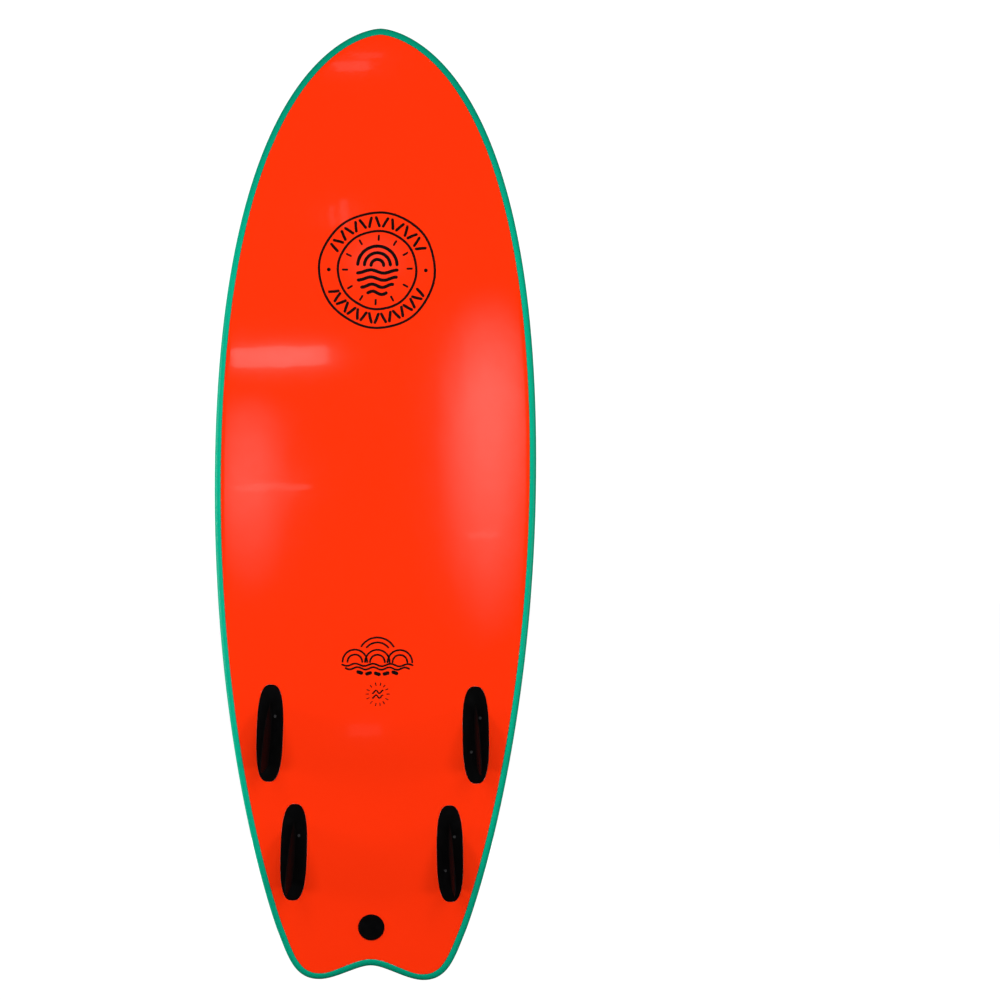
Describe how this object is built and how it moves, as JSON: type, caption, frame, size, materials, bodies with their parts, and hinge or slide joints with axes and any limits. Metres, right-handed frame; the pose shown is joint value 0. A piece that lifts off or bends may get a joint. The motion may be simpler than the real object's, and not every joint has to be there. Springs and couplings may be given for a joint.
{
  "type": "surfboard",
  "caption": "Short, wide soft-top surfboard with a swallow tail, a foam deck over a slick plastic bottom, removable fins and a leash plug.",
  "frame": {"origin": "Under the middle of the bounding box, on the plane that the two tail tips touch.", "axes": "+Z runs along the board from the tail to the nose. The deck faces -Y, and the bottom with the fins faces +Y. +X is the right-hand side as seen from the deck."},
  "size_m": [0.572, 0.2226, 1.702],
  "materials": {
    "deck_foam": "satin",
    "slick": "gloss",
    "backing_foam": "matte",
    "core_foam": "matte",
    "stringer_wood": "matte",
    "box_plastic": "satin",
    "fin_plastic": "satin",
    "plug_plastic": "satin",
    "bar_plastic": "satin",
    "screw_steel": "satin"
  },
  "bodies": {
    "board": {"deck_skin": "deck_foam", "bottom_slick": "slick", "bottom_backing": "backing_foam", "core_left": "core_foam", "core_centre": "core_foam", "core_right": "core_foam", "stringer_left": "stringer_wood", "stringer_right": "stringer_wood", "fin_box_front_left": "box_plastic", "fin_box_front_right": "box_plastic", "fin_box_rear_left": "box_plastic", "fin_box_rear_right": "box_plastic", "leash_cup": "plug_plastic", "leash_bar": "bar_plastic", "leash_cap": "plug_plastic"},
    "fin_front_left": {"fin_front_left": "fin_plastic"},
    "fin_front_right": {"fin_front_right": "fin_plastic"},
    "fin_rear_left": {"fin_rear_left": "fin_plastic"},
    "fin_rear_right": {"fin_rear_right": "fin_plastic"},
    "grub_screw_front_left_fore": {"grub_screw_front_left_fore": "screw_steel"},
    "grub_screw_front_left_aft": {"grub_screw_front_left_aft": "screw_steel"},
    "grub_screw_front_right_fore": {"grub_screw_front_right_fore": "screw_steel"},
    "grub_screw_front_right_aft": {"grub_screw_front_right_aft": "screw_steel"},
    "grub_screw_rear_left_fore": {"grub_screw_rear_left_fore": "screw_steel"},
    "grub_screw_rear_left_aft": {"grub_screw_rear_left_aft": "screw_steel"},
    "grub_screw_rear_right_fore": {"grub_screw_rear_right_fore": "screw_steel"},
    "grub_screw_rear_right_aft": {"grub_screw_rear_right_aft": "screw_steel"}
  },
  "joints": [
    {"name": "fin_front_left_slide", "type": "slide", "parent": "board", "child": "fin_front_left", "axis": [-0.0871, 0.9956, -0.0333], "range_m": [0, 0.08]},
    {"name": "fin_front_right_slide", "type": "slide", "parent": "board", "child": "fin_front_right", "axis": [0.0871, 0.9956, -0.0333], "range_m": [0, 0.08]},
    {"name": "fin_rear_left_slide", "type": "slide", "parent": "board", "child": "fin_rear_left", "axis": [-0.0871, 0.9934, -0.0749], "range_m": [0, 0.08]},
    {"name": "fin_rear_right_slide", "type": "slide", "parent": "board", "child": "fin_rear_right", "axis": [0.0871, 0.9934, -0.0749], "range_m": [0, 0.08]},
    {"name": "grub_screw_front_left_fore_turn", "type": "hinge", "parent": "board", "child": "grub_screw_front_left_fore", "pos_m": [-0.19106, 0.00314, 0.47038], "axis": [-0.4693, 0.8828, -0.0199], "continuous": true},
    {"name": "grub_screw_front_left_aft_turn", "type": "hinge", "parent": "board", "child": "grub_screw_front_left_aft", "pos_m": [-0.17494, 0.00098, 0.4096], "axis": [0.4693, 0.882, -0.0429], "continuous": true},
    {"name": "grub_screw_front_right_fore_turn", "type": "hinge", "parent": "board", "child": "grub_screw_front_right_fore", "pos_m": [0.17347, 0.00313, 0.46995], "axis": [-0.4693, 0.882, -0.0429], "continuous": true},
    {"name": "grub_screw_front_right_aft_turn", "type": "hinge", "parent": "board", "child": "grub_screw_front_right_aft", "pos_m": [0.19254, 0.001, 0.41003], "axis": [0.4693, 0.8828, -0.0199], "continuous": true},
    {"name": "grub_screw_rear_left_fore_turn", "type": "hinge", "parent": "board", "child": "grub_screw_rear_left_fore", "pos_m": [-0.14706, -0.00758, 0.25829], "axis": [-0.4693, 0.8812, -0.0568], "continuous": true},
    {"name": "grub_screw_rear_left_aft_turn", "type": "hinge", "parent": "board", "child": "grub_screw_rear_left_aft", "pos_m": [-0.13094, -0.01228, 0.19766], "axis": [0.4693, 0.8794, -0.0797], "continuous": true},
    {"name": "grub_screw_rear_right_fore_turn", "type": "hinge", "parent": "board", "child": "grub_screw_rear_right_fore", "pos_m": [0.12946, -0.00761, 0.25786], "axis": [-0.4693, 0.8794, -0.0797], "continuous": true},
    {"name": "grub_screw_rear_right_aft_turn", "type": "hinge", "parent": "board", "child": "grub_screw_rear_right_aft", "pos_m": [0.14854, -0.01224, 0.19809], "axis": [0.4693, 0.8812, -0.0568], "continuous": true}
  ]
}
